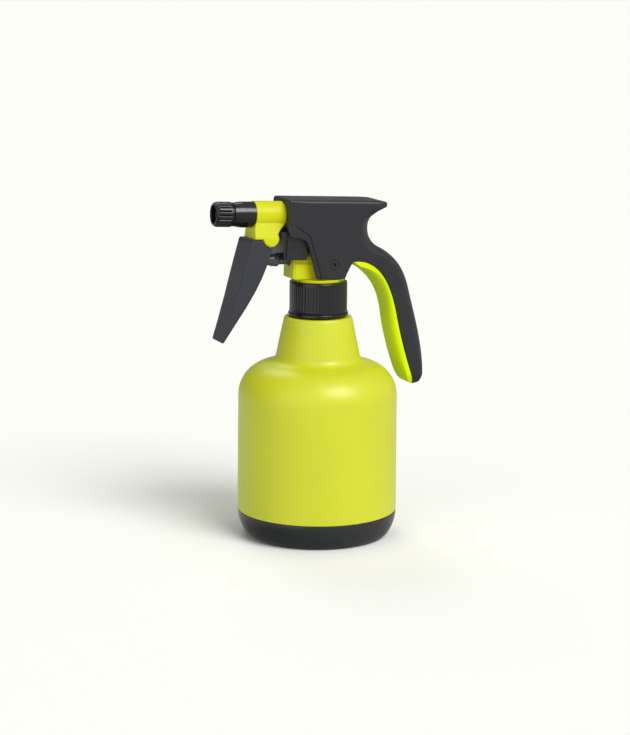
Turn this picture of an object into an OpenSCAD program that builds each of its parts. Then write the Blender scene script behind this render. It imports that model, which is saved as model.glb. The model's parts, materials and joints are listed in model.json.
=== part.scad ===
// Hand mister: a blown tank in a dark foot, a screw collar, and a trigger head with a rear handle.
// +Z is up and the nozzle points to -X. The origin is on the tank's axis, on the underside of the foot.
// The head is drawn level, with its own origin on the tank's axis at the top of the collar, and is then
// pitched by head_pitch, so that the spray leaves slightly upwards.

/* [Tank] */
// Diameter of the tank
tank_d = 95; // [90:1:100]
// Wall thickness of the tank
tank_wall = 1.8; // [1.4:0.1:2.4]
// Height of the seam between the foot and the tank
seam_z = 16; // [14:0.5:18]
// Height at which the shoulder leaves the wall
shoulder_z = 85.5; // [80:0.5:90]
// How much further out the wall stands at the seam than at the shoulder
tank_flare = 0.4; // [0:0.1:0.6]
// Radius of the shoulder
shoulder_r = 20; // [18:0.5:22]
// Radius of the neck cone where it leaves the shoulder
cone_base_r = 25.2; // [24:0.1:27]
// Radius of the neck cone at its top
cone_top_r = 20.4; // [19.5:0.1:22]
// Height of the neck cone's top
cone_top_z = 133; // [132:0.2:133]

/* [Closure] */
// Outside radius of the threaded neck
neck_r = 12.5; // [12.3:0.1:12.8]
// Radius of the neck's bore
neck_bore_r = 10.8; // [10.6:0.1:11]
// Height of the tank's lip
lip_z = 150; // [149.5:0.1:150]
// Radius of the collar over its ribs
collar_r = 17.2; // [17:0.1:17.6]
// Number of ribs round the collar
collar_ribs = 54; // [36:2:60]

/* [Head] */
// Upward pitch of the head, in degrees
head_pitch = 2.5; // [1.5:0.1:3]
// Width of the shroud
shroud_w = 28; // [27.5:0.1:29]
// Width of the handle
handle_w = 20; // [18:0.5:22]
// Height of the spray axis above the head's origin
spray_h = 38.1; // [38:0.1:38.2]
// Radius of the nozzle holder's barrel
barrel_r = 8.1; // [8:0.1:8.2]

/* [Pump] */
// Height of the plunger's axis above the head's origin
plunger_h = 11.4; // [11.2:0.1:11.6]
// Radius of the cylinder's bore
bore_r = 5.8; // [5.6:0.1:6]
// Radius of the trigger's pivot pin
pivot_r = 1.5; // [1.4:0.1:1.6]
// Full swing of the trigger, in degrees
trigger_swing = 22; // [20:1:22]
// Width of the trigger at its top
trigger_w = 22.2; // [21.8:0.1:22.4]
// Width of the block that carries the trigger's pin
block_w = 19.4; // [19:0.1:19.8]

/* [Nozzle] */
// Radius of the nozzle cap over its ribs
cap_r = 7.4; // [7.3:0.1:7.5]
// Number of ribs round the nozzle cap
cap_ribs = 18; // [12:1:24]
// Radius of the spout
spout_r = 7.6; // [7.5:0.1:7.7]

/* [Hidden] */
$fn = 64;

LIME = [0.80, 0.84, 0.16];
DARK = [0.22, 0.23, 0.25];
BLACK = [0.08, 0.08, 0.09];
STEEL = [0.75, 0.76, 0.78];
RUBBER = [0.13, 0.13, 0.14];
CLEAR = [0.85, 0.88, 0.90];

gap = 0.1;              // play between pieces that are snapped or dropped together
head_z = 155;           // height of the head's own origin
e = 0.5;                // overshoot of the cutting solids

// Foot and tank
tank_r = tank_d / 2;
seam_r = tank_r + tank_flare;
foot_wall = 2.2;
foot_arc_r = 24;        // side arc of the foot, tangent to the wall at the seam
foot_arc_x = seam_r - foot_arc_r;
foot_edge_r = 2.5;      // rounding between the foot's side and its underside
tank_floor_z = 2.3;
shoulder_end = 75.5;    // angle at which the shoulder runs on straight to the neck cone
cone_base_z = 106.8;
neck_thread_r = 13.75;

// Closure
collar_z = 133.5;
collar_flare_h = 3.5;
collar_flare_r = 17.9;
collar_top_z = 154.3;
collar_plate = 1.8;
collar_bore_r = 14.2;
stem_r = 11.2;          // the pump body's stem, on which the collar turns
seat_flange_z = 151;
seat_flange_t = 1.4;
ball_r = 3;
ball_seat_z = 153;
ball_port_r = 2.4;
tube_r = 3;
tube_bore_r = 2.2;
tube_low_z = 8;
tube_top_z = 148.5;

// Head, in its own frame
barrel_x0 = -43.4;      // front face of the nozzle holder
barrel_x1 = -16;
holder_split_x = -30;   // where the spout's spigot meets the outlet pipe
outlet_pipe_r = 4.6;
spigot_r = 6;
cap_x0 = -67.7;         // front face of the nozzle cap
cap_rib_x0 = cap_x0 + 1.7;
cap_rib_x1 = cap_rib_x0 + 8.3;
cap_x1 = cap_rib_x1 + 0.9;
web_x = cap_x0 + 4.7;   // back of the wall that holds the orifice
spigot_x0 = web_x + 1.1;
channel_r = 2;
pivot = [-34.6, 25.1];
lobe_r = 5.1;
slot_w = 13;            // gap between the two ears
pin_l = 17.5;           // length of the trigger's pivot pin
nose_arm = 14;          // distance from the pivot to the centre of the trigger's push nose
nose_r = 3;
nose = pivot - nose_arm * [sin(trigger_swing / 2), cos(trigger_swing / 2)];
cyl_x0 = -18.4;         // mouth of the pump cylinder
cyl_x1 = -4;            // bottom of its bore
cyl_r = 7.5;
piston_x = -16.8;       // front face of the piston
piston_t = 3.2;
rod_r = 2.6;
knob_r = 3.7;
knob_x = nose[0] + nose_r + 0.15;
shroud_x0 = -26;
shroud_top = 48.2;
shroud_wall = 1.8;
horn_x = 37.8;          // rear end of the horn over the web of the hand
horn_r = 4.6;           // rounding of the horn's end, seen from above
pin_at = [4.2, 10.4];

// Points along an arc, from angle a0 to a1 in n steps
function arc(c, r, a0, a1, n) = [for (i = [0:n]) let (a = a0 + (a1 - a0) * i / n) c + r * [cos(a), sin(a)]];

// Points along a cubic curve with four control points
function curve(p, n) = [for (i = [0:n]) let (t = i / n, s = 1 - t)
    s * s * s * p[0] + 3 * s * s * t * p[1] + 3 * s * t * t * p[2] + t * t * t * p[3]];

function reversed(a) = [for (i = [len(a) - 1:-1:0]) a[i]];

// A tube with round section swept along a helix about +Z, as closed faces
module helix(r, wire, length, turns, sides = 6, steps = 14) {
    rings = turns * steps;
    ring = function (i) let (a = 360 * i / steps, z = length * i / rings)
        [for (k = [0:sides - 1]) let (b = 360 * k / sides, q = r + wire * cos(b))
            [q * cos(a), q * sin(a), z + wire * sin(b)]];
    points = [for (i = [0:rings]) each ring(i)];
    sides_faces = [for (i = [0:rings - 1], k = [0:sides - 1]) let (m = (k + 1) % sides)
        each [[i * sides + k, (i + 1) * sides + k, (i + 1) * sides + m],
              [i * sides + k, (i + 1) * sides + m, i * sides + m]]];
    ends = [[for (k = [0:sides - 1]) k], [for (k = [sides - 1:-1:0]) rings * sides + k]];
    polyhedron(points, concat(sides_faces, ends));
}

// Star-shaped outline of n straight ribs that rise from r0 to r1
module ribbed(n, r0, r1) {
    corner_at = [0, 0.18, 0.5, 0.68];
    corner_r = [r0, r1, r1, r0];
    polygon([for (i = [0:n - 1], k = [0:3]) let (a = 360 * (i + corner_at[k]) / n)
        corner_r[k] * [cos(a), sin(a)]]);
}

module ring(r_out, r_in, h) {
    difference() {
        cylinder(r = r_out, h = h);
        translate([0, 0, -e]) cylinder(r = r_in, h = h + 2 * e);
    }
}

// Puts what is drawn in the head's level frame in its pitched place
module in_head() translate([0, 0, head_z]) rotate([0, head_pitch, 0]) children();

// Lays a solid drawn along +Z along the head's +X, from (x, 0, h)
module along_x(x, h) translate([x, 0, h]) rotate([0, 90, 0]) children();

// Extrudes a side outline (x, height) by w, centred on the head's middle plane
module side(w) rotate([90, 0, 0]) linear_extrude(height = w, center = true) children();

// ---- Tank ----

module bottle() color(LIME) {
    seat_arc_r = foot_arc_r - foot_wall - gap;
    seat_angle = -acos((39.5 - foot_arc_x) / seat_arc_r);
    inner_floor = tank_floor_z + tank_wall;
    outer = concat(
        [[0, tank_floor_z], [39.5, tank_floor_z]],
        arc([foot_arc_x, seam_z], seat_arc_r, seat_angle, 0, 6),
        [[seam_r, seam_z], [tank_r, shoulder_z]],
        arc([tank_r - shoulder_r, shoulder_z], shoulder_r, 0, shoulder_end, 12),
        [[cone_base_r, cone_base_z], [cone_top_r, cone_top_z - 1.2], [cone_top_r - 1.2, cone_top_z],
         [neck_r, cone_top_z], [neck_r, lip_z], [neck_bore_r, lip_z]]);
    inner = concat(
        [[neck_bore_r, cone_top_z - 3], [cone_top_r - tank_wall, cone_top_z - 4],
         [cone_base_r - tank_wall, cone_base_z - tank_wall]],
        reversed(arc([tank_r - shoulder_r, shoulder_z], shoulder_r - tank_wall, 0, shoulder_end, 12)),
        [[tank_r - tank_wall, seam_z + 6], [tank_r - foot_wall - tank_wall, seam_z + 1], [38, inner_floor],
         [0, inner_floor]]);
    rotate_extrude() polygon(concat(outer, inner));
}

module foot() color(DARK) {
    edge_angle = -asin((seam_z - foot_edge_r) / foot_arc_r);
    edge_x = foot_arc_x + foot_arc_r * cos(edge_angle);
    cup_arc_r = foot_arc_r - foot_wall;
    cup_angle = -acos((39.6 - foot_arc_x) / cup_arc_r);
    rotate_extrude() polygon(concat(
        [[0, 0], [edge_x - foot_edge_r, 0], [edge_x - foot_edge_r * 0.3, foot_edge_r * 0.3]],
        arc([foot_arc_x, seam_z], foot_arc_r, edge_angle, 0, 8),
        reversed(arc([foot_arc_x, seam_z], cup_arc_r, cup_angle, 0, 6)),
        [[39.6, tank_floor_z], [0, tank_floor_z]]));
}

// ---- Closure ----

module collar() color(BLACK) difference() {
    union() {
        translate([0, 0, collar_z + collar_flare_h])
            linear_extrude(height = collar_top_z - collar_z - collar_flare_h - 1)
                ribbed(collar_ribs, collar_r - 0.5, collar_r);
        translate([0, 0, collar_z]) cylinder(r = collar_flare_r, h = collar_flare_h);
        translate([0, 0, collar_top_z - 1]) cylinder(r1 = collar_r - 0.5, r2 = collar_r - 1.2, h = 1);
    }
    translate([0, 0, collar_z - e])
        cylinder(r = collar_bore_r, h = collar_top_z - collar_plate - collar_z + e);
    translate([0, 0, collar_z]) cylinder(r = stem_r + 0.4, h = collar_top_z - collar_z + e);
}

module neck_gasket() color(RUBBER)
    translate([0, 0, lip_z]) ring(neck_thread_r - 0.3, neck_bore_r, seat_flange_z - lip_z);

module valve_seat() color(CLEAR) difference() {
    union() {
        translate([0, 0, seat_flange_z]) cylinder(r = neck_thread_r - 0.15, h = seat_flange_t);
        translate([0, 0, seat_flange_z]) cylinder(r = 8.2, h = 4);
        translate([0, 0, 139]) cylinder(r = 5, h = seat_flange_z - 139);
    }
    translate([0, 0, ball_seat_z]) cylinder(r = ball_r + 0.4, h = 10);
    translate([0, 0, tube_top_z]) cylinder(r = ball_port_r, h = 10);
    translate([0, 0, 139 - e]) cylinder(r = tube_r + 0.02, h = tube_top_z - 139 + e);
}

module vent_seal() color(RUBBER)
    translate([0, 0, seat_flange_z - 1.2]) ring(9.6, 5.1, 1.2);

module dip_tube() color(CLEAR)
    translate([0, 0, tube_low_z]) ring(tube_r, tube_bore_r, tube_top_z - tube_low_z);

// A slotted cup pushed over the tube's lower end
module tube_filter() color(BLACK) difference() {
    translate([0, 0, 5]) cylinder(r = 4.4, h = 14);
    translate([0, 0, tube_low_z]) cylinder(r = tube_r + 0.02, h = 12);
    translate([0, 0, 6.2]) cylinder(r = tube_bore_r, h = 4);
    for (a = [0:60:120]) rotate([0, 0, a]) translate([-6, -0.4, 6.4]) cube([12, 0.8, 1.4]);
}

module inlet_ball() color(STEEL) {
    lift = sqrt(ball_r * ball_r - ball_port_r * ball_port_r);
    translate([0, 0, ball_seat_z + lift + gap]) sphere(r = ball_r);
}

// ---- Pump ----

// Base disc, saddle, pump cylinder, riser and outlet pipe, moulded in one
module pump_body() color(LIME) difference() {
    union() {
        translate([0, 0, collar_top_z + 0.2]) cylinder(r = 15, h = 1.6);
        translate([0, 0, seat_flange_z + seat_flange_t]) cylinder(r = stem_r, h = 4);
        in_head() {
            translate([-18.2, -8, 0.9]) cube([24.2, 16, 9]);
            along_x(cyl_x0, plunger_h) cylinder(r = cyl_r, h = 24.4);
            translate([0, 0, 1]) cylinder(r = 5.2, h = spray_h + 4);
            along_x(holder_split_x, spray_h) cylinder(r = outlet_pipe_r, h = -holder_split_x);
        }
    }
    translate([0, 0, seat_flange_z]) cylinder(r = 8.3, h = 4.1);
    translate([0, 0, seat_flange_z]) cylinder(r = ball_r + 0.4, h = 8.2);
    in_head() {
        along_x(cyl_x0 - e, plunger_h) cylinder(r = bore_r, h = cyl_x1 - cyl_x0 + e);
        along_x(cyl_x1 - e, plunger_h) cylinder(r = 1.6, h = 4.5);
        translate([0, 0, 3]) cylinder(r = channel_r, h = spray_h - 3);
        along_x(holder_split_x - e, spray_h) cylinder(r = channel_r, h = -holder_split_x + e);
    }
}

// Cover that closes the shroud's front round the barrel, with a box over the cylinder and the window
// that the plunger's knob runs in
module cylinder_cover() color(BLACK) in_head() difference() {
    union() {
        side(22.4) polygon([[-29, 29], [-26.6, 12.8], [-12.4, 12.8], [-12.4, 29]]);
        translate([-25.5, -12, 12.8]) cube([7.5, 24, 6.4]);
        translate([-25.4, -12, 12.8]) cube([1.4, 24, 33.8]);
    }
    side(19.6) polygon([[-27.4, 27.8], [-25.2, 12.8 - e], [-11, 12.8 - e], [-11, 27.8]]);
    along_x(-30, plunger_h) cylinder(r = 4.6, h = 5);
    along_x(-27, spray_h) cylinder(r = barrel_r + gap, h = 4);
}

module piston() color([0.45, 0.46, 0.48]) in_head() along_x(0, plunger_h) {
    groove_x = piston_x + 1;
    rotate_extrude() polygon(concat(
        [[0, knob_x], [2.4, knob_x]],
        arc([2.4, knob_x + 1], 1, -90, 0, 4),
        [[knob_r, knob_x + 7.2], [rod_r, knob_x + 8.2], [rod_r, piston_x], [bore_r - 0.5, piston_x],
         [bore_r - 0.5, groove_x], [4.3, groove_x], [4.3, groove_x + 1.4], [bore_r - 0.5, groove_x + 1.4],
         [bore_r - 0.5, piston_x + piston_t], [0, piston_x + piston_t]]));
}

module piston_seal() color(RUBBER) in_head()
    along_x(piston_x + 1.05, plunger_h) ring(bore_r - 0.05, 4.35, 1.3);

module return_spring() color(STEEL) in_head()
    along_x(piston_x + piston_t + 0.4, plunger_h)
        helix(3.6, 0.35, cyl_x1 - piston_x - piston_t - 0.8, 4);

// ---- Nozzle ----

module nozzle_holder() color(LIME) in_head() difference() {
    union() {
        along_x(barrel_x0, spray_h) cylinder(r = barrel_r, h = barrel_x1 - barrel_x0);
        side(block_w) {
            polygon([
                [-44.6, 24.3], [-38.5, 24.3], pivot + [0, 1], [-31, 27.4], [-26.2, 32.6], [-26.2, 36],
                [barrel_x0, 36], [barrel_x0, spray_h - spout_r - gap], [-44.6, spray_h - spout_r - gap]]);
            translate(pivot) circle(r = lobe_r);
        }
    }
    side(slot_w) polygon([[-40.4, 18], [-27, 18], [-27, 30.4], [-40.4, 30.4]]);
    along_x(barrel_x0 - e, spray_h) cylinder(r = spigot_r + 0.05, h = holder_split_x - barrel_x0 + e);
    along_x(barrel_x0, spray_h) cylinder(r = outlet_pipe_r + 0.05, h = barrel_x1 - barrel_x0 + e);
    translate([pivot[0], pin_l / 2 + 0.05, pivot[1]]) rotate([90, 0, 0])
        cylinder(r = pivot_r, h = pin_l + 0.1);
}

module spout() color(BLACK) in_head() difference() {
    along_x(0, spray_h) rotate_extrude() polygon([
        [0, spigot_x0], [4.6, spigot_x0], [4.6, cap_x1 + 0.4], [6.9, cap_x1 + 0.4], [7, cap_x1 + 1.4],
        [spout_r - 0.1, -51.8], [spout_r, -51.2], [spout_r, barrel_x0], [spigot_r, barrel_x0],
        [spigot_r, holder_split_x], [0, holder_split_x]]);
    along_x(spigot_x0 - e, spray_h) cylinder(r = channel_r, h = 36);
    along_x(spigot_x0 - e, spray_h) cylinder(r = 3, h = 3);
    along_x(-37, spray_h) cylinder(r = 2.9, h = 8);
}

module outlet_valve() color(RUBBER) in_head()
    along_x(holder_split_x - 1.5, spray_h) cylinder(r = 2.6, h = 1.4);

module outlet_spring() color(STEEL) in_head()
    along_x(-36.7, spray_h) helix(1.9, 0.2, 4.8, 4);

module swirl_insert() color(BLACK) in_head() difference() {
    along_x(spigot_x0 - 0.7, spray_h) cylinder(r = 2.95, h = 3.1);
    for (a = [0:90:270]) translate([0, 0, spray_h]) rotate([a, 0, 0])
        translate([spigot_x0 - 1.5, 2.2, -0.4]) cube([5, 1, 0.8]);
    along_x(spigot_x0 + 1.4, spray_h) cylinder(r = 1.2, h = 2);
}

// Seal ring carried in the cap's groove, sliding on the spout's spigot
module nozzle_seal() color(RUBBER) in_head()
    along_x(cap_x1 - 1.8, spray_h) ring(5.2, 4.65, 1.1);

module nozzle_cap() color(BLACK) in_head() difference() {
    union() {
        along_x(cap_rib_x0, spray_h) linear_extrude(height = 8.3) ribbed(cap_ribs, cap_r - 0.5, cap_r);
        along_x(0, spray_h) rotate_extrude() polygon(concat(
            [[0, cap_x0], [5.6, cap_x0]], arc([5.6, cap_rib_x0], 1.7, -90, 0, 5),
            [[cap_r - 0.2, cap_rib_x0 + 0.2], [cap_r - 0.5, cap_rib_x0 + 0.4],
             [cap_r - 0.5, cap_rib_x1 - 0.1], [cap_r - 0.2, cap_rib_x1],
             [cap_r - 0.2, cap_x1], [0, cap_x1]]));
    }
    along_x(cap_x0 - e, spray_h) cylinder(r = 5, h = 3.3 + e);
    along_x(cap_x0, spray_h) cylinder(r = 0.5, h = 8);
    along_x(web_x, spray_h) cylinder(r = 4.7, h = 8);
    along_x(cap_x1 - 1.9, spray_h) cylinder(r = 5.25, h = 1.3);
}

// ---- Trigger ----

module trigger_outline() {
    rear = curve([[-61, -35.8], [-50.6, -18.5], [-39.2, -3], [-34.5, 19]], 10);
    front = [
        [-39.5, 24], [-45.6, 24], [-46.5, 23.3], [-48.9, 14], [-55.1, -11], [-58.5, -23.5],
        [-62.1, -36]];
    difference() {
        polygon(concat(front, [[-61.8, -36.6]], rear));
        translate(pivot) circle(r = lobe_r + 0.6);
    }
}

module trigger() color(DARK) in_head() difference() {
    union() {
        difference() {
            intersection() {
                side(trigger_w) trigger_outline();
                // front view: parallel at the top, then narrowing to the tip
                rotate([90, 0, 90]) translate([0, 0, -80]) linear_extrude(height = 80) polygon([
                    [-trigger_w / 2, 26], [-trigger_w / 2, 10], [-10.4, -14], [-9.3, -38],
                    [9.3, -38], [10.4, -14], [trigger_w / 2, 10], [trigger_w / 2, 26]]);
            }
            // channel in the trigger's back
            side(trigger_w - 5) translate([3, -1.5]) trigger_outline();
        }
        // tongue between the ears, which carries the hub and the push nose
        side(slot_w - 0.8) {
            translate(pivot) circle(r = 4.2);
            polygon([pivot + [-4.1, 0.5], [-40, 23.5], [-46, 16], [-48, 12], [-48.6, 6], nose + [0, -3],
                     nose + [nose_r - 0.1, 0], pivot + [0.6, -4]]);
            translate(nose) circle(r = nose_r);
        }
    }
    translate([pivot[0], 10, pivot[1]]) rotate([90, 0, 0]) cylinder(r = pivot_r + 0.05, h = 20);
}

module trigger_pin() color(STEEL) in_head()
    translate([pivot[0], pin_l / 2, pivot[1]]) rotate([90, 0, 0]) cylinder(r = pivot_r, h = pin_l);

// ---- Shroud and handle ----

// Curves of the handle's side view: inner edge, seam between liner and shell, and outer edge
inner_edge = concat(
    curve([[20.5, 9.3], [34, 6], [41.8, -6.5], [43.9, -22.3]], 8),
    curve([[43.9, -22.3], [46.3, -34], [51.3, -50], [57.2, -59.5]], 8));
seam_edge = concat(
    curve([[16.4, 12], [30, 14.5], [42.9, 1.5], [48.2, -21.3]], 8),
    curve([[48.2, -21.3], [51.4, -33.8], [56, -48], [62.6, -63.4]], 8));
outer_edge = concat(
    curve([[34, 20.6], [46.5, 15.2], [53, 6.2], [56.5, -5.5]], 8),
    curve([[56.5, -5.5], [61, -20.5], [67.6, -38], [68.5, -54]], 8));
tip_inner = [[57.2, -59.5], [59.6, -62.2], [62.6, -63.4]];
tip_outer = arc([61.9, -56.8], 6.6, 0, -84, 5);

module head_outline() {
    throat = arc([39.7, 32], 12.8, 120, 243, 12);
    polygon(concat(
        [[shroud_x0, shroud_top], [31.5, shroud_top], [35.4, 47.8], [37, 47.1], [horn_x, 46],
         [37.6, 44.9], [36.6, 44.1]],
        throat,
        [[36, 13], [24, 16.5], [16.4, 12.2], [11.5, 2.3], [11.5, 1.9], [-6.6, 1.9], [-9.7, 12.1],
         [-12.4, 20.3], [-14.2, 23.6], [-16.9, 25], [-24.2, 26.7], [-25.6, 28.2], [shroud_x0, 31]]));
}

module handle_shell_outline()
    polygon(concat(seam_edge, reversed(tip_outer), reversed(outer_edge), [[28, 22]]));

// End view of the handle, which narrows from the shroud's width to its own
module handle_taper(inset) {
    top = shroud_w / 2 - inset;
    low = handle_w / 2 - inset;
    rotate([90, 0, 90]) linear_extrude(height = 80) polygon([
        [-top, 30], [-top, 22], [-low, -8], [-low, -70],
        [low, -70], [low, -8], [top, 22], [top, 30]]);
}

// View from above of the part over the pump, with the horn's end rounded
module head_plan() polygon(concat(
    [[-40, shroud_w / 2], [-40, -shroud_w / 2]],
    arc([horn_x - horn_r, horn_r - shroud_w / 2], horn_r, -90, 0, 6),
    arc([horn_x - horn_r, shroud_w / 2 - horn_r], horn_r, 0, 90, 6)));

module shroud() color(DARK) in_head() difference() {
    union() {
        intersection() {
            side(shroud_w) head_outline();
            // end view: rounded along the two top edges
            rotate([90, 0, 90]) translate([0, 0, -40]) linear_extrude(height = 100) union() {
                translate([-shroud_w / 2, -10]) square([shroud_w, shroud_top + 7]);
                translate([-shroud_w / 2 + 3, shroud_top - 4]) square([shroud_w - 6, 4]);
                for (s = [-1, 1]) translate([s * (shroud_w / 2 - 3), shroud_top - 3]) circle(r = 3);
            }
            translate([0, 0, -10]) linear_extrude(height = shroud_top + 20) head_plan();
        }
        intersection() {
            side(shroud_w) handle_shell_outline();
            handle_taper(0);
        }
    }
    side(shroud_w - 2 * shroud_wall) polygon([
        [-30, 46.8], [27, 46.8], [24.5, 41], [24, 27], [12.5, 13], [9.7, 3], [9.7, -3], [-30, -3]]);
    for (s = [-1, 1]) translate([pin_at[0], s * 10, pin_at[1]]) rotate([-s * 90, 0, 0]) {
        cylinder(r = 2.05, h = 6);
        translate([0, 0, shroud_w / 2 - 10 - 1.2]) cylinder(r = 3, h = 3);
    }
}

module grip_insert() color(LIME) in_head() intersection() {
    side(shroud_w) polygon(concat(inner_edge, tip_inner, reversed(seam_edge)));
    handle_taper(0.5);
}

module shroud_pins() color(BLACK) in_head()
    for (s = [-1, 1]) translate([pin_at[0], s * 8.4, pin_at[1]]) rotate([-s * 90, 0, 0]) difference() {
        union() {
            cylinder(r = 2, h = 4.6);
            translate([0, 0, shroud_w / 2 - 8.4 - 1.15]) cylinder(r = 2.8, h = 0.9);
        }
        translate([0, 0, 4.2]) cylinder(r = 1, h = 2);
    }

bottle();
foot();
collar();
neck_gasket();
valve_seat();
vent_seal();
dip_tube();
tube_filter();
inlet_ball();
pump_body();
cylinder_cover();
nozzle_holder();
spout();
outlet_valve();
outlet_spring();
swirl_insert();
nozzle_seal();
nozzle_cap();
trigger();
trigger_pin();
piston();
piston_seal();
return_spring();
shroud();
grip_insert();
shroud_pins();
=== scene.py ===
"""The looks of a hand mister, a lime and dark grey trigger spray bottle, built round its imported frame.

Lengths are in millimetres until a mesh is made. The head's parts are drawn in its own level frame and are
then put in place by HEAD, which lifts them onto the closure and pitches them slightly upwards.
"""

import json
import math

import bmesh
import bpy
import numpy as np
from mathutils import Matrix, Vector, geometry


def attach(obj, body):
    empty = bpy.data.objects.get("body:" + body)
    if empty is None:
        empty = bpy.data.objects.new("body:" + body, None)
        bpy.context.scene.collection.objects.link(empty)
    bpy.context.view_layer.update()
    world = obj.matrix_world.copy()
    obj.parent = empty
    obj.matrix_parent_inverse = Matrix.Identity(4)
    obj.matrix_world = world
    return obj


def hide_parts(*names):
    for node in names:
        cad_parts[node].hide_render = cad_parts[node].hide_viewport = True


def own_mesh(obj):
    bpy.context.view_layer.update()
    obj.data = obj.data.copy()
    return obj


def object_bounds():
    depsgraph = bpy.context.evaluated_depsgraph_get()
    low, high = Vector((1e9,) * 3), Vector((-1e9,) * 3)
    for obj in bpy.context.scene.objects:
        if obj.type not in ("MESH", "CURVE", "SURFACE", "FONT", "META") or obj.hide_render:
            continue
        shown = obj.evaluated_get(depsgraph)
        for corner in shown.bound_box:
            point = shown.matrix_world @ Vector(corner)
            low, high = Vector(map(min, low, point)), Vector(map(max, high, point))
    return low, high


MM = 0.001
SHARP = 32
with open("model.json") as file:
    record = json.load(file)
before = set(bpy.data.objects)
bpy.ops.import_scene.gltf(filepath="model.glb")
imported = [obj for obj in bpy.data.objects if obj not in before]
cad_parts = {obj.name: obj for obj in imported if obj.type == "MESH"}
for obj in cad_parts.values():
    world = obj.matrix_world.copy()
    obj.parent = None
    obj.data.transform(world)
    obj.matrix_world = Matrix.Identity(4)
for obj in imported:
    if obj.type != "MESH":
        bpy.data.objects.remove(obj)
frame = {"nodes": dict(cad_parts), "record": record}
cad_low, cad_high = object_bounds()
NODES = frame["nodes"]
BODY_OF = {}
for body_name, members in frame["record"]["behaviour"]["bodies"].items():
    for member in members:
        BODY_OF[member] = body_name
SLOT_OF = {row["node"]: row["material_slot"] for row in frame["record"]["subparts"]}

HEAD = Matrix.Translation((0, 0, 155)) @ Matrix.Rotation(math.radians(2.5), 4, "Y")
SPRAY_H = 38.1
PLUNGER_H = 11.4
PIVOT = (-34.6, 25.1)
SHELL_HALF = 14
BLOCK_HALF = 9.7
TRIGGER_HALF = 11.1


# ---- Curves and outlines ----

def arc(centre, radius, start, end, steps):
    """Points along an arc, from one angle to the other in degrees."""
    points = []
    for i in range(steps + 1):
        angle = math.radians(start + (end - start) * i / steps)
        points.append((centre[0] + radius * math.cos(angle), centre[1] + radius * math.sin(angle)))
    return points


def bezier(a, b, c, d, steps):
    """Points along a cubic curve with four control points."""
    a, b, c, d = (Vector(p) for p in (a, b, c, d))
    points = []
    for i in range(steps + 1):
        t = i / steps
        s = 1 - t
        points.append(tuple(a * s ** 3 + b * (3 * s * s * t) + c * (3 * s * t * t) + d * t ** 3))
    return points


def rounded(corners, steps=5):
    """Outline through corners given as (x, y) or (x, y, radius), each rounded by its radius."""
    out = []
    count = len(corners)
    for i, corner in enumerate(corners):
        here = Vector(corner[:2])
        radius = corner[2] if len(corner) > 2 else 0
        if radius <= 0:
            out.append(tuple(here))
            continue
        back = Vector(corners[i - 1][:2]) - here
        ahead = Vector(corners[(i + 1) % count][:2]) - here
        half = back.angle(ahead) / 2
        reach = min(radius / math.tan(half), 0.49 * back.length, 0.49 * ahead.length)
        start = back.normalized() * reach
        end = ahead.normalized() * reach
        centre = (start + end).normalized() * (reach / math.cos(half))
        sweep = math.pi - 2 * half
        for k in range(steps + 1):
            near = math.sin(sweep * (1 - k / steps)) / math.sin(sweep)
            far = math.sin(sweep * k / steps) / math.sin(sweep)
            out.append(tuple(here + centre + (start - centre) * near + (end - centre) * far))
    return out


def ease(x, low, high):
    """Goes smoothly from 0 at low to 1 at high."""
    t = min(max((x - low) / (high - low), 0), 1)
    return t * t * (3 - 2 * t)


# ---- Meshes ----

def solid(name, verts, faces, place=Matrix()):
    """Closed mesh in metres, put in its place and shaded smooth but for its sharp edges."""
    mesh = bpy.data.meshes.new(name)
    mesh.from_pydata([place @ Vector(v) * MM for v in verts], [], faces)
    piece = bpy.data.objects.new(name, mesh)
    bpy.context.collection.objects.link(piece)
    tidy(piece)
    return piece


def tidy(piece, sharp=SHARP):
    """Merges doubled points, turns all faces outwards and keeps edges above an angle in degrees sharp."""
    mesh = piece.data
    bm = bmesh.new()
    bm.from_mesh(mesh)
    bmesh.ops.remove_doubles(bm, verts=bm.verts, dist=1e-6)
    bmesh.ops.recalc_face_normals(bm, faces=bm.faces)
    bm.to_mesh(mesh)
    bm.free()
    mesh.polygons.foreach_set("use_smooth", [True] * len(mesh.polygons))
    mesh.set_sharp_from_angle(angle=math.radians(sharp))


def revolve(name, path, sides=128, radial=None, place=Matrix(), closed=False):
    """Solid of revolution about +Z of a path of (radius, height), from axis to axis unless it is closed."""
    verts = []
    rows = []
    for radius, height in path:
        if radius < 1e-6:
            rows.append([len(verts)] * sides)
            verts.append((0, 0, height))
            continue
        rows.append(list(range(len(verts), len(verts) + sides)))
        for s in range(sides):
            angle = 2 * math.pi * s / sides
            reach = radial(radius, height, angle) if radial else radius
            verts.append((reach * math.cos(angle), reach * math.sin(angle), height))
    pairs = list(zip(rows, rows[1:]))
    if closed:
        pairs.append((rows[-1], rows[0]))
    faces = []
    for low, high in pairs:
        for s in range(sides):
            t = (s + 1) % sides
            face = list(dict.fromkeys((low[s], low[t], high[t], high[s])))
            if len(face) > 2:
                faces.append(face)
    return solid(name, verts, faces, place)


def inside(points, ring):
    """Which of the points lie inside a closed ring."""
    held = np.zeros(len(points), bool)
    for a, b in zip(ring, np.roll(ring, -1, axis=0)):
        crosses = (a[1] > points[:, 1]) != (b[1] > points[:, 1])
        rise = b[1] - a[1] if b[1] != a[1] else 1e-12
        held ^= crosses & (points[:, 0] < (b[0] - a[0]) * (points[:, 1] - a[1]) / rise + a[0])
    return held


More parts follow.
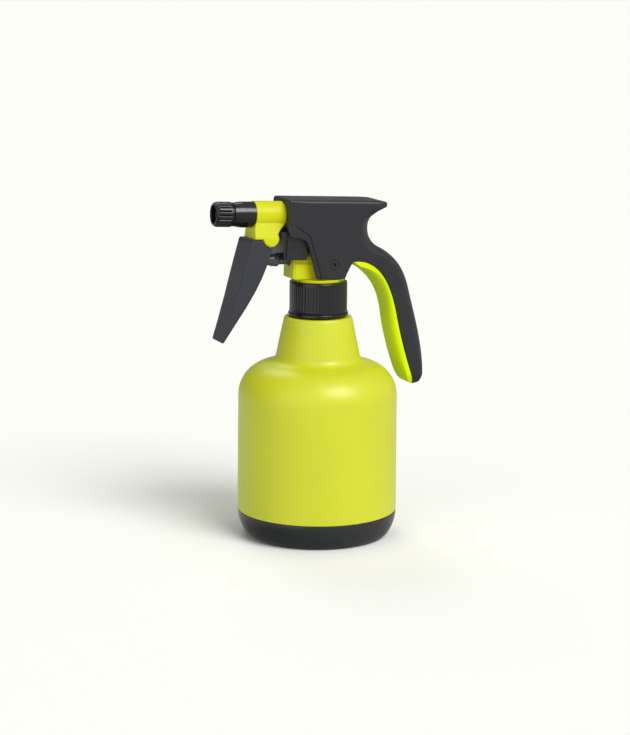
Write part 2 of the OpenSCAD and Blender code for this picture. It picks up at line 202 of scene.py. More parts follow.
def fill(ring, extra, pitch):
    """Fills a flat ring with triangles over a grid. Returns the points after the ring's, and the faces."""
    ring = np.array(ring)
    low = ring.min(axis=0)
    high = ring.max(axis=0)
    columns = np.arange(low[0] + pitch / 2, high[0], pitch)
    rows = np.arange(low[1] + pitch / 2, high[1], pitch)
    grid = np.array([(x, h) for x in columns for h in rows])
    if len(extra):
        extra = np.array(extra)
        clear = np.min(np.linalg.norm(grid[:, None] - extra[None], axis=2), axis=1) > 0.7
        fine = np.min(np.linalg.norm(extra[:, None] - ring[None], axis=2), axis=1) > 0.15
        inner = [grid[clear], extra[fine & inside(extra, ring)]]
    else:
        inner = [grid]
    grid = inner[0]
    spread = np.min(np.linalg.norm(grid[:, None] - ring[None], axis=2), axis=1) > pitch * 0.4
    inner[0] = grid[spread & inside(grid, ring)]
    points = np.concatenate([ring] + inner)
    edges = [(i, (i + 1) % len(ring)) for i in range(len(ring))]
    flat = [Vector(p) for p in points]
    made, _, faces, origin, _, _ = geometry.delaunay_2d_cdt(flat, edges, [], 1, 1e-7)
    crossings = [tuple(round(c, 2) for c in at) for at, source in zip(made, origin) if not source]
    if crossings:
        raise ValueError(f"an outline crosses itself near {crossings[:4]}")
    return points[len(ring):], [[origin[v][0] for v in face] for face in faces]


def insets(rim):
    """How each point of a closed rim moves inwards, when each stretch moves by its own inset."""
    count = len(rim)
    ahead = rim[1:] + rim[:1]
    area = sum(here[0] * there[1] - there[0] * here[1] for here, there in zip(rim, ahead))
    turn = 1 if area > 0 else -1
    normals = []
    for here, there in zip(rim, ahead):
        along = Vector(there[:2]) - Vector(here[:2])
        normals.append(Vector((-along.y, along.x)).normalized() * turn)
    moves = []
    for i in range(count):
        before, after = normals[i - 1], normals[i]
        a, b = rim[i - 1][2], rim[i][2]
        cross = before.x * after.y - before.y * after.x
        if abs(cross) < 0.2:
            moves.append((before + after).normalized() * (a + b) / 2)
            continue
        move = Vector(((a * after.y - b * before.y) / cross, (before.x * b - after.x * a) / cross))
        most = 3 * max(a, b)
        moves.append(move if move.length < most else move * (most / move.length))
    return moves


def limited(rim, share=0.42):
    """Keeps each inset under a share of the plate's thickness there."""
    at = np.array([point[:2] for point in rim])
    along = np.roll(at, -1, axis=0) - np.roll(at, 1, axis=0)
    along /= np.linalg.norm(along, axis=1)[:, None] + 1e-9
    area = np.sum(at[:, 0] * np.roll(at[:, 1], -1) - np.roll(at[:, 0], -1) * at[:, 1])
    inward = np.stack([-along[:, 1], along[:, 0]], axis=1) * (1 if area > 0 else -1)
    wanted = np.array([point[2] for point in rim], float)
    for i in range(len(rim)):
        ways = at - at[i]
        reach = ways @ inward[i]
        ball = (ways ** 2).sum(axis=1) / np.maximum(2 * reach, 1e-9)
        ball[reach <= 0.02] = 1e9
        wanted[i] = min(wanted[i], max(share * 2 * ball.min(), 0.08))
    return [(x, h, float(inset), depth) for (x, h, _, depth), inset in zip(rim, wanted)]


def slab(name, rim, half, shape=None, extra=(), steps=5, pitch=2.5, share=0.42):
    """Plate across the head's middle plane, with rounded edges.

    rim is its side outline, as (x, h, inset, depth): the rounding at a stretch takes that inset from the
    outline over that depth of the plate's half width. Wide roundings are flatter, like a soft chamfer.
    shape moves each point (x, y, h) at the end.
    """
    rim = limited(rim, share)
    moves = insets(rim)
    count = len(rim)
    verts = []
    for side in (-1, 1):
        for k in range(steps + 1):
            turn = math.pi / 2 * (1 - k / steps if side < 0 else k / steps)
            for i, (x, h, _, _) in enumerate(rim):
                depth = (rim[i - 1][3] + rim[i][3]) / 2
                flat = 1 + 0.5 * ease(rim[i][2], 3, 7)
                at = Vector((x, h)) + moves[i] * (1 - math.cos(turn) ** flat)
                verts.append((at.x, side * (half - depth * (1 - math.sin(turn) ** flat)), at.y))
    faces = []
    for row in range(2 * steps + 1):
        for i in range(count):
            j = (i + 1) % count
            low = row * count
            faces.append((low + i, low + j, low + count + j, low + count + i))
    ring = [(v[0], v[2]) for v in verts[:count]]
    inner, cap = fill(ring, extra, pitch)
    last = (2 * steps + 1) * count
    for start, y in ((0, -half), (last, half)):
        first = len(verts)
        verts += [(x, y, h) for x, h in inner]
        faces += [[start + v if v < count else first + v - count for v in face] for face in cap]
    if shape:
        verts = [shape(*v) for v in verts]
    return solid(name, verts, faces, HEAD)


def prism(name, outline, half):
    """Plain plate across the head's middle plane, used to cut with."""
    count = len(outline)
    verts = [(x, y, h) for y in (-half, half) for x, h in outline]
    faces = [(i, (i + 1) % count, count + (i + 1) % count, count + i) for i in range(count)]
    faces += [tuple(range(count)), tuple(range(2 * count - 1, count - 1, -1))]
    return solid(name, verts, faces, HEAD)


def bar(name, radius, start, end, place):
    """Plain round bar along +Z of a place, used to cut with."""
    return revolve(name, [(0, start), (radius, start), (radius, end), (0, end)], 64, place=place)


def along_x(x, h):
    """Place in the head where +Z runs backwards along the spray, from (x, 0, h)."""
    return HEAD @ Matrix.Translation((x, 0, h)) @ Matrix.Rotation(math.pi / 2, 4, "Y")


def across(x, h):
    """Place in the head where +Z runs across it, from (x, 0, h)."""
    return HEAD @ Matrix.Translation((x, 0, h)) @ Matrix.Rotation(-math.pi / 2, 4, "X")


def cut(piece, *tools, operation="DIFFERENCE"):
    """Cuts a piece with tools, or joins them to it, and removes the tools."""
    for tool in tools:
        step = piece.modifiers.new("cut", "BOOLEAN")
        step.operation = operation
        step.solver = "EXACT"
        step.object = tool
    bake(piece)
    for tool in tools:
        bpy.data.objects.remove(tool)
    tidy(piece)


def bake(piece):
    """Applies a piece's modifiers to its mesh."""
    view = bpy.context.evaluated_depsgraph_get()
    mesh = bpy.data.meshes.new_from_object(piece.evaluated_get(view))
    piece.modifiers.clear()
    piece.data = mesh


def join(piece, *others):
    """Takes the other pieces' meshes into a piece as closed solids of their own."""
    bm = bmesh.new()
    for source in (piece, *others):
        bm.from_mesh(source.data)
    bm.to_mesh(piece.data)
    bm.free()
    for source in others:
        bpy.data.objects.remove(source)
    piece.data.polygons.foreach_set("use_smooth", [True] * len(piece.data.polygons))
    piece.data.set_sharp_from_angle(angle=math.radians(SHARP))


def softened(node, width, name):
    """Copy of a CAD node with all its sharp edges rounded by a width."""
    mesh = NODES[node].data.copy()
    mesh.name = name
    piece = bpy.data.objects.new(name, mesh)
    bpy.context.collection.objects.link(piece)
    bm = bmesh.new()
    bm.from_mesh(mesh)
    bmesh.ops.remove_doubles(bm, verts=bm.verts, dist=2e-6)
    bmesh.ops.dissolve_limit(bm, angle_limit=math.radians(0.5), verts=bm.verts, edges=bm.edges)
    bm.to_mesh(mesh)
    bm.free()
    round_edges(piece, width)
    return piece


def round_edges(piece, width):
    """Rounds all the sharp edges of a piece by a width."""
    edge = piece.modifiers.new("edges", "BEVEL")
    edge.width = width * MM
    edge.segments = 3
    edge.limit_method = "ANGLE"
    edge.angle_limit = math.radians(40)
    edge.use_clamp_overlap = True
    bake(piece)
    tidy(piece, 40)


def helix_tube(name, radius, wire, start, end, turns, place, sides=10, per_turn=40):
    """Round wire wound as a spring along +Z of a place, with flat ends."""
    rings = int(turns * per_turn)
    verts = []
    for i in range(rings + 1):
        angle = 2 * math.pi * i / per_turn
        height = start + (end - start) * i / rings
        for k in range(sides):
            around = 2 * math.pi * k / sides
            reach = radius + wire * math.cos(around)
            verts.append((reach * math.cos(angle), reach * math.sin(angle), height + wire * math.sin(around)))
    faces = [tuple(range(sides)), tuple(rings * sides + k for k in range(sides))]
    for i in range(rings):
        for k in range(sides):
            m = (k + 1) % sides
            low, high = i * sides, (i + 1) * sides
            faces.append((low + k, low + m, high + m, high + k))
    return solid(name, verts, faces, place)


# ---- Materials ----

def link(tree, source, output, target, socket):
    """Joins an output of one shader node to a socket of another."""
    tree.links.new(source.outputs[output], target.inputs[socket])


def noise(tree, place, scale, detail=3.0, rough=0.55):
    """Noise node over the object's own metres."""
    node = tree.nodes.new("ShaderNodeTexNoise")
    node.inputs["Scale"].default_value = scale
    node.inputs["Detail"].default_value = detail
    node.inputs["Roughness"].default_value = rough
    link(tree, place, "Object", node, "Vector")
    return node


def mapped(tree, source, output, span, result=(0, 1)):
    """Node that maps a span of another node's output to a range."""
    node = tree.nodes.new("ShaderNodeMapRange")
    node.inputs["From Min"].default_value = span[0]
    node.inputs["From Max"].default_value = span[1]
    node.inputs["To Min"].default_value = result[0]
    node.inputs["To Max"].default_value = result[1]
    link(tree, source, output, node, "Value")
    return node


def spread(tree, source, low, high):
    """Maps the middle of a noise to the range from low to high."""
    return mapped(tree, source, "Fac", (0.3, 0.7), (low, high))


def grey(level):
    """Opaque grey of a level."""
    return level, level, level, 1


def finish_of(name, colour, rough, grain, bump, drift=0.05, wear=0.0, metal=0.0, shine=0.5):
    """Moulded or metal finish: slow drift of colour, grain in roughness and bump, paler worn edges."""
    material = bpy.data.materials.new(name)
    material.use_nodes = True
    tree = material.node_tree
    shader = tree.nodes["Principled BSDF"]
    place = tree.nodes.new("ShaderNodeTexCoord")
    slow = noise(tree, place, 22.0)
    tint = tree.nodes.new("ShaderNodeMix")
    tint.data_type = "RGBA"
    tint.inputs["A"].default_value = (*[c * (1 - drift) for c in colour], 1)
    tint.inputs["B"].default_value = (*[min(c * (1 + drift), 1) for c in colour], 1)
    link(tree, spread(tree, slow, 0, 1), "Result", tint, "Factor")
    last = tint
    if wear:
        shape = tree.nodes.new("ShaderNodeNewGeometry")
        edge = mapped(tree, shape, "Pointiness", (0.52, 0.62), (0, wear))
        pale = tree.nodes.new("ShaderNodeMix")
        pale.data_type = "RGBA"
        pale.inputs["B"].default_value = (*[min(c * 2.2 + 0.02, 1) for c in colour], 1)
        link(tree, edge, "Result", pale, "Factor")
        link(tree, tint, "Result", pale, "A")
        last = pale
    tree.links.new(last.outputs["Result"], shader.inputs["Base Color"])
    fine = noise(tree, place, grain, 4.0)
    link(tree, spread(tree, fine, rough * 0.88, min(rough * 1.12, 1)), "Result", shader, "Roughness")
    relief = tree.nodes.new("ShaderNodeBump")
    relief.inputs["Strength"].default_value = 1.0
    relief.inputs["Distance"].default_value = bump * MM
    link(tree, fine, "Fac", relief, "Height")
    link(tree, relief, "Normal", shader, "Normal")
    shader.inputs["Metallic"].default_value = metal
    shader.inputs["Specular IOR Level"].default_value = shine
    return material


FINISHES = {
    "tank_lime": finish_of("tank_lime", (0.495, 0.53, 0.0125), 0.38, 900, 0.02, 0.03),
    "foot_dark": finish_of("foot_dark", (0.013, 0.0145, 0.016), 0.3, 1400, 0.02, 0.08, 0.3),
    "black_gloss": finish_of("black_gloss", (0.004, 0.004, 0.0055), 0.2, 700, 0.002, 0.1, 0.15),
    "lime_gloss": finish_of("lime_gloss", (0.515, 0.525, 0.003), 0.34, 800, 0.006, 0.03, shine=0.2),
    "grip_lime": finish_of("grip_lime", (0.56, 0.70, 0.002), 0.65, 2200, 0.03, 0.04, shine=0.12),
    "shroud_dark": finish_of("shroud_dark", (0.0145, 0.015, 0.0185), 0.4, 2600, 0.035, 0.06, 0.25, shine=0.4),
    "trigger_dark": finish_of("trigger_dark", (0.022, 0.022, 0.034), 0.38, 2200, 0.025, 0.06, 0.25),
    "inner_black": finish_of("inner_black", (0.008, 0.008, 0.009), 0.38, 1800, 0.02, 0.08, 0.15),
    "natural_plastic": finish_of("natural_plastic", (0.74, 0.77, 0.75), 0.35, 900, 0.01, 0.02),
    "piston_grey": finish_of("piston_grey", (0.055, 0.057, 0.06), 0.18, 800, 0.006, 0.05, 0.1),
    "seal_rubber": finish_of("seal_rubber", (0.020, 0.020, 0.020), 0.75, 3000, 0.03, 0.08),
    "steel": finish_of("steel", (0.60, 0.61, 0.63), 0.24, 4000, 0.004, 0.03, metal=1.0),
}


def place_piece(piece, node, weighted=True):
    """Lets a piece stand for a CAD node: on its body, in its slot and in its finish."""
    piece.data.materials.clear()
    piece.data.materials.append(FINISHES[SLOT_OF[node]])
    if weighted:
        even = piece.modifiers.new("even", "WEIGHTED_NORMAL")
        even.keep_sharp = True
        even.weight = 60
        bake(piece)
    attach(piece, BODY_OF[node])
    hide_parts(node)


# ---- Tank ----

def make_foot():
    """Cup under the tank, with a rounded lower edge and a shallow ring under it."""
    side_x = 47.9 - 24
    low = arc((side_x, 16), 24, -34, -3, 14)
    cup = arc((side_x, 16), 21.8, 0, -43, 10)
    path = [(0, 0.6), (33, 0.6, 0.4), (34, 0, 0.5), (41.2, 0, 2.2)] + low + [(47.75, 15.85, 0.15)]
    path += [(46.2, 16), *cup, (39.6, 2.3), (0, 2.3)]
    place_piece(revolve("foot_cup", rounded(path, 5), 160), "foot")


def make_bottle():
    """Blown tank with a rounded shoulder, a drawn-in neck cone and a threaded neck."""
    side_x = 47.9 - 24
    outer = [(0, 2.35), (39.5, 2.35)] + arc((side_x, 16), 21.7, -43, 0, 10)
    outer += [(46.1, 16.0), (47.85, 16.12, 0.12), (47.9, 16.5), (47.8, 38), (47.68, 60), (47.55, 78)]
    outer += [(47.5, 85.5)]
    outer += arc((27.5, 85.5), 20, 4, 75.5, 24)
    outer += bezier((31.2, 105.2), (28.4, 106.0), (25.6, 106.7), (24.9, 110.5), 10)
    outer += [(22.6, 121.7), (20.4, 132.0, 0.9), (19.6, 133, 0.5), (14.2, 133, 0.6), (12.5, 133.6, 0.4)]
    outer += [(12.5, 149.4, 0.4), (12.1, 150, 0.3), (10.8, 150, 0.3), (10.8, 130), (18.8, 129)]
    inner = [(23.4, 105)] + arc((27.5, 85.5), 18.2, 75.5, 0, 14)
    inner += [(45.7, 22), (43.5, 17), (38, 4.1), (0, 4.1)]
    tank = revolve("tank_shell", rounded(outer, 5) + inner, 192)
    thread = helix_tube("neck_thread", 12.75, 0.85, 136.4, 147.2, 2.55, Matrix(), 8, 64)
    join(tank, thread)
    place_piece(tank, "bottle")


# ---- Closure ----

COLLAR_RIBS = 54


def collar_rib(radius, height, angle):
    """Fine upright ribs between the collar's flare and its top edge."""
    if radius < 16 or radius > 17.3:
        return radius
    phase = COLLAR_RIBS * angle / (2 * math.pi) % 1
    crest = ease(phase, 0.05, 0.3) - ease(phase, 0.62, 0.87)
    length = ease(height, 136.9, 137.7) - ease(height, 152.6, 153.6)
    return radius - 0.17 * (1 - crest) * length


def make_collar():
    """Ribbed screw ring with its flared foot, its top edge and the opening for the neck."""
    outside = rounded([(14.2, 133.5, 0.3), (17.4, 133.5, 0.4), (17.9, 134.3, 0.5), (17.9, 136.2, 0.6)], 4)[1:]
    outside += [(17.4, 136.8), (17.2, 137.0)]
    outside += [(17.2, 137.0 + 15.4 * i / 16) for i in range(1, 17)]
    outside += rounded([(17.2, 152.8), (17.1, 154.3, 1.0), (11.6, 154.3, 0.2), (11.6, 152.5)], 6)[1:]
    outside += [(14.2, 152.5), (14.2, 134)]
    place_piece(revolve("screw_ring", outside, COLLAR_RIBS * 10, collar_rib, closed=True), "collar", False)


# ---- Nozzle ----

CAP_RIBS = 18


def cap_rib(radius, height, angle):
    """Long flutes round the nozzle cap, which run out before its ends."""
    if radius < 6.6:
        return radius
    phase = CAP_RIBS * angle / (2 * math.pi) % 1
    groove = math.exp(-(((phase - 0.5) / 0.15) ** 2))
    length = ease(height, 1.1, 2.0) - ease(height, 8.9, 9.5)
    return radius - 0.7 * groove * length


def make_nozzle():
    """Adjustable cap with its recess and orifice, and the spout that it turns on."""
    front = rounded([(0.45, 4.6), (0.45, 3.1, 0.15), (1.3, 3.1, 0.2), (1.6, 2.7, 0.2), (3.2, 2.7, 0.2),
                     (3.4, 3.3, 0.15), (5.0, 3.3, 0.25), (5.15, 0.5, 0.3), (5.6, 0, 0.35), (6.6, 0.15, 0.5),
                     (7.4, 1.9, 1.5), (7.4, 5)], 6)[:-1]
    side = [(7.4, 2.6 + 6.8 * i / 14) for i in range(15)]
    rear = rounded([(7.4, 9.4), (7.4, 9.8, 0.2), (6.85, 9.95, 0.1), (6.85, 10.15, 0.1), (7.1, 10.25, 0.1),
                    (7.1, 10.9, 0.3), (4.75, 10.9, 0.2), (4.75, 10.2), (5.25, 10.2), (5.25, 9),
                    (4.7, 9), (4.7, 4.7), (0.45, 4.7)], 4)[1:]
    cap = revolve("spray_tip", front + side + rear, CAP_RIBS * 16, cap_rib, along_x(-67.7, SPRAY_H), True)
    place_piece(cap, "nozzle_cap", False)
    path = rounded([(3.0, -61.9), (4.6, -61.9, 0.2), (4.6, -56.35), (6.9, -56.3, 0.3), (7.0, -55.1, 0.5),
                    (7.45, -52.0, 0.6), (7.6, -51.0, 0.4), (7.6, -44.6, 0.2), (7.6, -43.4), (6.0, -43.4),
                    (6.0, -30), (2.0, -30), (2.0, -59), (3.0, -59)], 5)
    place_piece(revolve("spout_tube", path, 128, None, along_x(0, SPRAY_H), True), "spout")


def block_width(x, y, h):
    """Draws the block's sides in slowly until they run into the barrel's."""
    half = BLOCK_HALF - 2.9 * min(max((h - 25) / 9.5, 0), 1)
    return x, y * half / BLOCK_HALF, h


def make_holder():
    """Lime barrel with the block under it and the two ears that carry the trigger's pin."""
    lobe = arc(PIVOT, 5.1, 191, 388, 30)
    rim = [(-43.4, 34.5, 0.5, 0.8), (-44.6, 30.2, 0.5, 0.8), (-44.6, 24.3, 0.7, 0.9), (-39.7, 24.3, 0.7, 0.9)]
    rim += [(x, h, 0.7, 0.9) for x, h in lobe]
    rim += [(-28.6, 29.9, 0.7, 0.9), (-26.2, 32.6, 0.4, 0.9), (-26.2, 38.1, 0.2, 0.3)]
    rim += [(-43.4, 38.1, 0.5, 0.8)]
    block = slab("nozzle_block", rim, BLOCK_HALF, block_width, steps=4, pitch=1.2)
    barrel = revolve("barrel", rounded([(0, -43.4), (8.1, -43.4, 0.5), (8.1, -16), (0, -16)], 5), 128,
                     place=along_x(0, SPRAY_H))
    cut(block, barrel, operation="UNION")
    slot = prism("slot", [(-40.4, 18), (-27, 18), (-27, 30.4), (-40.4, 30.4)], 6.5)
    bore = bar("bore", 6.05, -45, -30, along_x(0, SPRAY_H))
    pipe = bar("pipe", 4.65, -31, -15, along_x(0, SPRAY_H))
    cut(block, slot, bore, pipe)
    place_piece(block, "nozzle_holder")


# ---- Trigger and plunger ----

def trigger_width(x, y, h):
    """Narrows the trigger towards its tip and rounds the tip's corners."""
    half = 9.3 + 1.8 * ease(h, -44, 14)
    below = min(max((-34.6 - h) / 1.95, 0), 1)
    half -= 1.5 * (1 - math.sqrt(1 - below * below))
    return x, y * half / TRIGGER_HALF, h


def make_trigger():
    """Finger lever with a channel in its back, and the tongue between the ears."""
    rear = bezier((-61, -35.8), (-50.6, -18.5), (-39.2, -3), (-34.5, 18.7), 26)
    hollow = arc(PIVOT, 5.7, 276, 191, 12)
    front = [(-40.9, 24.1), (-43, 24.1), (-45, 24.1)]
    front += bezier((-46, 24.1), (-46.7, 24.1), (-47.2, 23.8), (-47.4, 23), 5)
    front += bezier((-47.6, 22.2), (-50.2, 11.5), (-52.5, 1.5), (-55.4, -11), 12)
    front += bezier((-56, -13.2), (-57.7, -20), (-59.7, -27.5), (-61.6, -34.4), 8)
    rim = [(x, h, 0.1 + 0.4 * ease(h, -36, -28), 0.6) for x, h in front]
    rim += [(-62, -35.8, 0.1, 0.6), (-61.9, -36.4, 0.1, 0.6), (-61.3, -36.3, 0.1, 0.6)]
    rim += [(x, h, 0.1 + 0.4 * ease(h, -36, -28), 0.6) for x, h in rear]
    rim += [(x, h, 0.25, 0.3) for x, h in hollow]
    lever = slab("finger_lever_shell", rim, TRIGGER_HALF, trigger_width, steps=3, pitch=2)
    channel = [(x + 3, h - 1.5) for x, h, _, _ in rim]
    cut(lever, prism("channel", channel, 8.6))
    hub = arc(PIVOT, 4.2, -40, 190, 24)
    nose = arc((-37.27, 11.36), 3, 250, 352, 10)
    tongue = [(-40, 23.5), (-46, 16), (-48, 12), (-48.6, 6)] + nose + [(-34.0, 21.1)] + hub
    join(lever, slab("tongue", [(x, h, 0.3, 0.3) for x, h in tongue], 6.1, steps=2, pitch=2))
    place_piece(lever, "trigger")


def make_plunger():
    """Domed knob, rod and piston, with the groove for its seal."""
    path = rounded([(0, -34.12), (2.2, -34.1, 0.8), (3.0, -33.2, 0.9), (3.7, -30.2, 1.4), (3.7, -26.9, 0.5),
                    (2.6, -25.9, 0.4), (2.6, -16.8, 0.3), (5.3, -16.8, 0.2), (5.3, -15.8), (4.3, -15.8),
                    (4.3, -14.4), (5.3, -14.4), (5.3, -13.6, 0.2), (0, -13.6)], 6)
    place_piece(revolve("plunger_rod", path, 96, None, along_x(0, PLUNGER_H)), "piston")


# ---- Shroud and handle ----

STEPS = 20
INNER = bezier((20.5, 9.3), (34, 6), (41.8, -6.5), (43.9, -22.3), STEPS)
INNER += bezier((43.9, -22.3), (46.3, -34), (51.3, -50), (57.2, -59.5), STEPS)[1:]
SEAM = bezier((16.4, 12), (30, 14.5), (42.9, 1.5), (48.2, -21.3), STEPS)
SEAM += bezier((48.2, -21.3), (51.4, -33.8), (56, -48), (62.6, -63.4), STEPS)[1:]
OUTER = bezier((34, 20.6), (46.5, 15.2), (53, 6.2), (56.5, -5.5), STEPS)
OUTER += bezier((56.5, -5.5), (61, -20.5), (67.6, -38), (68.5, -54), STEPS)[1:]
LIP_STEPS = (1.1, 0.5, 0.3, 0.1, -0.08, -0.24, -0.42, -0.65, -1.2)
LIP = [(-27, 32.4), (-22.2, 32.8), (-19.1, 31.4), (-15.2, 29.1), (-12.6, 27), (-11.5, 24.9), (-9.6, 19.1),
       (-7, 12), (-4.7, 4.4), (-3.6, 0.5)]


def head_width(x, h):
    """Half width of the head's shell: full over the pump, slimmer down the handle, rounded at both ends."""
    half = SHELL_HALF - 4 * ease(x - h, 10, 64)
    below = min(max((-55.5 - h) / 8.2, 0), 1)
    half *= 0.4 + 0.6 * math.sqrt(1 - below * below)
    if h > 34 and x > 33:
        reach = min((x - 33) / 4.9, 1)
        half = min(half, 7.5 + 6.5 * math.sqrt(1 - reach * reach))
    return half


def lip_line():
    """The lip's outer line as a dense run of points with the way across it at each."""
    line = [Vector(p) for p in LIP]
    for _ in range(2):
        quarters = [a.lerp(b, share) for a, b in zip(line, line[1:]) for share in (0.25, 0.75)]
        line = [line[0], *quarters, line[-1]]
    dense = []
    for a, b in zip(line, line[1:]):
        count = max(int((b - a).length / 0.9), 1)
        across_line = Vector((b.y - a.y, a.x - b.x)).normalized()
        dense += [(a.lerp(b, i / count), across_line) for i in range(count)]
    return dense


LIP_LINE = lip_line()
LIP_POINTS = np.array([tuple(p) for p, _ in LIP_LINE])
LIP_ACROSS = np.array([tuple(n) for _, n in LIP_LINE])


def lip_offset(x, h):
    """Distance behind the lip's outer line: positive on the shroud's side, negative on the lip."""
    gap = np.array((x, h)) - LIP_POINTS
    nearest = int(np.argmin((gap * gap).sum(axis=1)))
    return -float(gap[nearest] @ LIP_ACROSS[nearest])


def shroud_shape(x, y, h):
    """Narrows the shell to its plan, raises the lip and sinks the groove along it."""
    if abs(y) > 12.2 and x < 2 and h < 36:
        away = lip_offset(x, h)
        raised = 0.3 * (1 - ease(away, -0.35, -0.05))
        groove = 0.55 * math.exp(-((away - 0.22) / 0.26) ** 2)
        y += math.copysign(raised - groove, y)
    return x, y * head_width(x, h) / SHELL_HALF, h


def shroud_rim():
    """Side outline of the shell, with how far it is rounded along each stretch."""
    rim = [(x, h, 1.2, 1.8) for x, h in arc((-24, 46.2), 2, 180, 90, 6)]
    rim += [(x, 48.2, 2.1, 2.3) for x in (-20, -14, -6, 2, 10, 18, 25)]
    rim += [(29, 48.17, 1.9, 2.4), (32, 48.07, 1.4, 2.6), (34, 47.9, 0.8, 2.8), (35.6, 47.63, 0.4, 3)]
    rim += [(x, h, 0.5, 3) for x, h in arc((36.15, 45.8), 1.6, 68, -70, 7)]
    under_horn = bezier((35.9, 44.12), (35, 43.9), (34.2, 43.6), (33.3, 43.09), 3)[:-1]
    for x, h in under_horn + arc((39.7, 32), 12.8, 120, 243, 30):
        angle = math.degrees(math.atan2(h - 32, x - 39.7)) % 360
        inset = 0.5 + 6.7 * ease(angle, 112, 168)
        rim.append((x, h, inset, 3.6 + 3.8 * ease(angle, 116, 160)))
    for i, (x, h) in enumerate(OUTER[1:]):
        blend = ease(i, 0, 10)
        rim.append((x, h, 7.2 - 1.9 * blend, 7.4 - 0.9 * blend))
    rim += [(x, h, 5.2 - 4.7 * ease(i, 0, 8), 6 - 4 * ease(i, 2, 8))
            for i, (x, h) in enumerate(arc((61.9, -56.8), 6.6, 0, -72, 10))]
    rim += [(x, h, 0.4 * ease(i, -1, 3), 0.6) for i, (x, h) in enumerate(SEAM[::-1][:-1])]
    rim += [(16.2, 11.9, 0.5, 0.6), (14.6, 9.4, 0.5, 0.6), (13.5, 7, 0.5, 0.6), (12.3, 4.6, 0.5, 0.6)]
    rim += [(11.5, 2.3, 0.5, 0.6), (11.2, 1.9, 0.4, 0.5), (-6.6, 1.9, 0.4, 0.5)]
    edge = rounded([(-6.8, 2), (-9.8, 12.1, 20), (-12.5, 20.3, 6), (-14.6, 24.2, 2.2), (-19.5, 25.9, 8),
                    (-24.6, 26.6, 1.6), (-26, 31.3)], 5)
    rim += [(x, h, 0.55, 0.6) for x, h in edge[1:-1]]
    rim += [(-26, 31.3, 1.0, 1.2), (-26, 35, 1.5, 1.8), (-26, 40, 1.6, 2.2)]
    return rim


def make_shroud():
    """Matte shell over the pump that runs back into the handle, open at the front and underneath."""
    crossing = []
    for point, way in LIP_LINE:
        crossing += [tuple(point + way * d) for d in LIP_STEPS]
    shell = slab("rear_shell", shroud_rim(), SHELL_HALF, shroud_shape, crossing, steps=7, pitch=2.2)
    hollow = [(-30, 46.2), (27, 46.2), (25, 41), (22.6, 34), (22.6, 27), (12.5, 13), (9.7, 3)]
    hollow += [(9.7, -3), (-30, -3)]
    tools = [prism("hollow", hollow, 12.2)]
    for side in (-1, 1):
        place = across(4.2, 10.4)
        tools.append(bar("seat", 3.05, side * 12.8, side * 16, place))
        tools.append(bar("hole", 2.05, side * 10, side * 13.4, place))
    cut(shell, *tools)
    place_piece(shell, "shroud")


def liner_width(x, y, h):
    """Keeps the liner just inside the handle's sides."""
    return x, y * (head_width(x, h) - 0.35) / SHELL_HALF, h


def make_liner():
    """Soft lime liner along the handle's inside."""
    rim = []
    for i, (x, h) in enumerate(INNER):
        thick = (Vector(SEAM[i]) - Vector((x, h))).length
        full = min(3.6, 0.78 * thick) * ease(i, -1, 12)
        rim.append((x, h, full * (1 - 0.85 * ease(i, 30, 40)), 6.5 * ease(i, -6, 14)))
    rim += [(58.0, -60.9, 0.5, 4), (59.2, -62.2, 0.4, 4), (60.8, -63.0, 0.3, 3), (62.4, -63.4, 0.1, 0.5)]
    rim += [(x - 0.12, h - 0.1, 0.3, 0.4) for x, h in SEAM[::-1][1:]]
    liner = slab("handle_liner", rim, SHELL_HALF, liner_width, steps=8, pitch=1.6, share=0.8)
    place_piece(liner, "grip_insert")


# ---- Pump ----

def make_pump():
    """Cover over the cylinder, and the lime pump body with the plate that guides the plunger's rod."""
    place_piece(softened("cylinder_cover", 0.5, "front_cover"), "cylinder_cover")
    body = softened("pump_body", 0.5, "pump_block")
    plate = prism("plate", [(-19.5, 0.9), (-18.1, 0.9), (-18.1, 17), (-19.5, 17)], 8)
    round_edges(plate, 0.7)
    cut(plate, bar("hole", 3.5, -22, -17, along_x(0, PLUNGER_H)))
    join(body, plate)
    place_piece(body, "pump_body")


# ---- Springs ----

def make_springs():
    """The two springs, which shorten with the parts that press them."""
    rest = helix_tube("plunger_spring", 3.6, 0.35, -13.2, -4.4, 6, along_x(0, PLUNGER_H), 8)
    place_piece(rest, "return_spring")
    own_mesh(rest)
    valve = helix_tube("valve_spring", 1.9, 0.2, -36.7, -31.9, 6, along_x(0, SPRAY_H), 8)
    place_piece(valve, "outlet_spring")
    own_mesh(valve)


# ---- Scene ----

# Brightness of the surround from straight down, at 0, over the horizon, at 0.5, to straight up, at 1
HORIZON = ((0.27, 0.2), (0.36, 0.75), (0.43, 0.75), (0.46, 0.12), (0.49, 0.12), (0.493, 1.0),
           (0.513, 1.0), (0.516, 0.12))


def make_floor():
    """Pale matt floor that reaches to the horizon."""
    size = 150
    mesh = bpy.data.meshes.new("floor")
    ground = cad_low.z
    corners = [(-size, -size), (size, -size), (size, size), (-size, size)]
    mesh.from_pydata([(x, y, ground) for x, y in corners], [], [(0, 1, 2, 3)])
    floor = bpy.data.objects.new("floor", mesh)
    bpy.context.collection.objects.link(floor)
    paint = bpy.data.materials.new("floor")
    paint.use_nodes = True
    shader = paint.node_tree.nodes["Principled BSDF"]
    shader.inputs["Base Color"].default_value = (0.83, 0.833, 0.8, 1)
    shader.inputs["Roughness"].default_value = 0.9
    shader.inputs["Specular IOR Level"].default_value = 0.1
    mesh.materials.append(paint)
    floor.visible_glossy = False


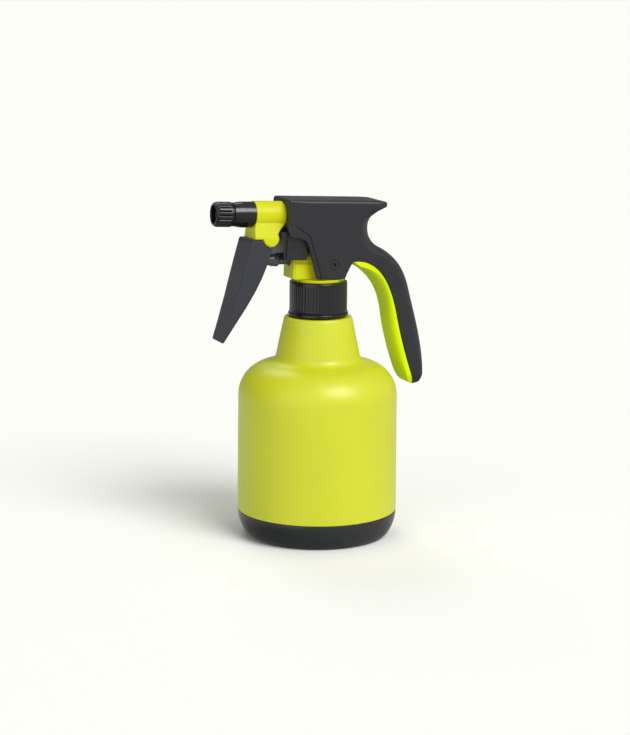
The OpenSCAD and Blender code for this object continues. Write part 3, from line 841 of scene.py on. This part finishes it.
def make_surround():
    """White surround that is brightest in front and to the right, and along the horizon behind."""
    world = bpy.data.worlds.new("surround")
    world.use_nodes = True
    tree = world.node_tree
    back = tree.nodes["Background"]
    back.inputs["Color"].default_value = (1.0, 1.0, 0.965, 1)
    around = tree.nodes.new("ShaderNodeTexCoord")
    facing = tree.nodes.new("ShaderNodeVectorMath")
    facing.operation = "DOT_PRODUCT"
    facing.inputs[1].default_value = (0.62, -0.74, 0.26)
    link(tree, around, "Generated", facing, 0)
    share = mapped(tree, facing, "Value", (-1, 1))
    curve = tree.nodes.new("ShaderNodeMath")
    curve.operation = "POWER"
    curve.inputs[1].default_value = 1.5
    link(tree, share, "Result", curve, 0)
    front = tree.nodes.new("ShaderNodeMath")
    front.operation = "MULTIPLY"
    front.inputs[1].default_value = 0.7
    link(tree, curve, "Value", front, 0)
    behind = mapped(tree, facing, "Value", (1, -1), (0, 1.15))
    sides = tree.nodes.new("ShaderNodeSeparateXYZ")
    link(tree, around, "Generated", sides, "Vector")
    height = mapped(tree, sides, "Z", (-1, 1))
    band = tree.nodes.new("ShaderNodeValToRGB")
    for position, value in HORIZON:
        band.color_ramp.elements.new(position).color = grey(value)
    band.color_ramp.elements[0].color = grey(0.2)
    band.color_ramp.elements[-1].color = grey(0.08)
    link(tree, height, "Result", band, "Fac")
    level = tree.nodes.new("ShaderNodeMath")
    level.operation = "MULTIPLY_ADD"
    link(tree, band, "Color", level, 0)
    link(tree, behind, "Result", level, 1)
    link(tree, front, "Value", level, 2)
    link(tree, level, "Value", back, "Strength")
    bpy.context.scene.world = world


def make_light(name, azimuth, elevation, softness, strength):
    """Soft light that comes evenly from one side; azimuth and elevation say where it stands, in degrees."""
    lamp = bpy.data.lights.new(name, "SUN")
    lamp.angle = math.radians(softness)
    lamp.energy = strength
    light = bpy.data.objects.new(name, lamp)
    bpy.context.collection.objects.link(light)
    light.rotation_mode = "QUATERNION"
    light.rotation_quaternion = towards(azimuth, elevation).to_track_quat("Z", "Y")


def towards(azimuth, elevation):
    """Direction from the object to where something stands, with azimuth 0 in front of it at -Y."""
    a, e = math.radians(azimuth), math.radians(elevation)
    return Vector((math.sin(a) * math.cos(e), -math.cos(a) * math.cos(e), math.sin(e)))


def make_camera():
    """Camera at eye height in front and to the left of the object, with a hint of roll."""
    roll = math.radians(0.45)
    target = Vector((-0.0015, 0.0006, 0.1015))
    back = towards(-22, 10.9)
    data = bpy.data.cameras.new("camera")
    data.lens = 102.3
    data.sensor_width = 36
    data.clip_start = 0.05
    data.clip_end = 400
    camera = bpy.data.objects.new("camera", data)
    bpy.context.collection.objects.link(camera)
    camera.location = target + back * 1.25
    camera.rotation_mode = "QUATERNION"
    tilt = Matrix.Rotation(roll, 3, "Z").to_quaternion()
    camera.rotation_quaternion = (-back).to_track_quat("-Z", "Y") @ tilt
    bpy.context.scene.camera = camera


make_camera()
make_floor()
make_surround()
make_light("key", 18, 44, 36, 2.5)
make_light("top", 0, 80, 70, 0.2)
make_light("rear", 178, 50, 30, 0.55)
make_light("fill", -58, 18, 60, 0.75)
bpy.context.scene.view_settings.view_transform = "Standard"

for node_name, node_object in NODES.items():
    for material_slot in node_object.material_slots:
        material_slot.material = FINISHES[SLOT_OF[node_name]]

make_foot()
make_bottle()
make_collar()
make_nozzle()
make_holder()
make_trigger()
make_plunger()
make_shroud()
make_liner()
make_pump()
make_springs()
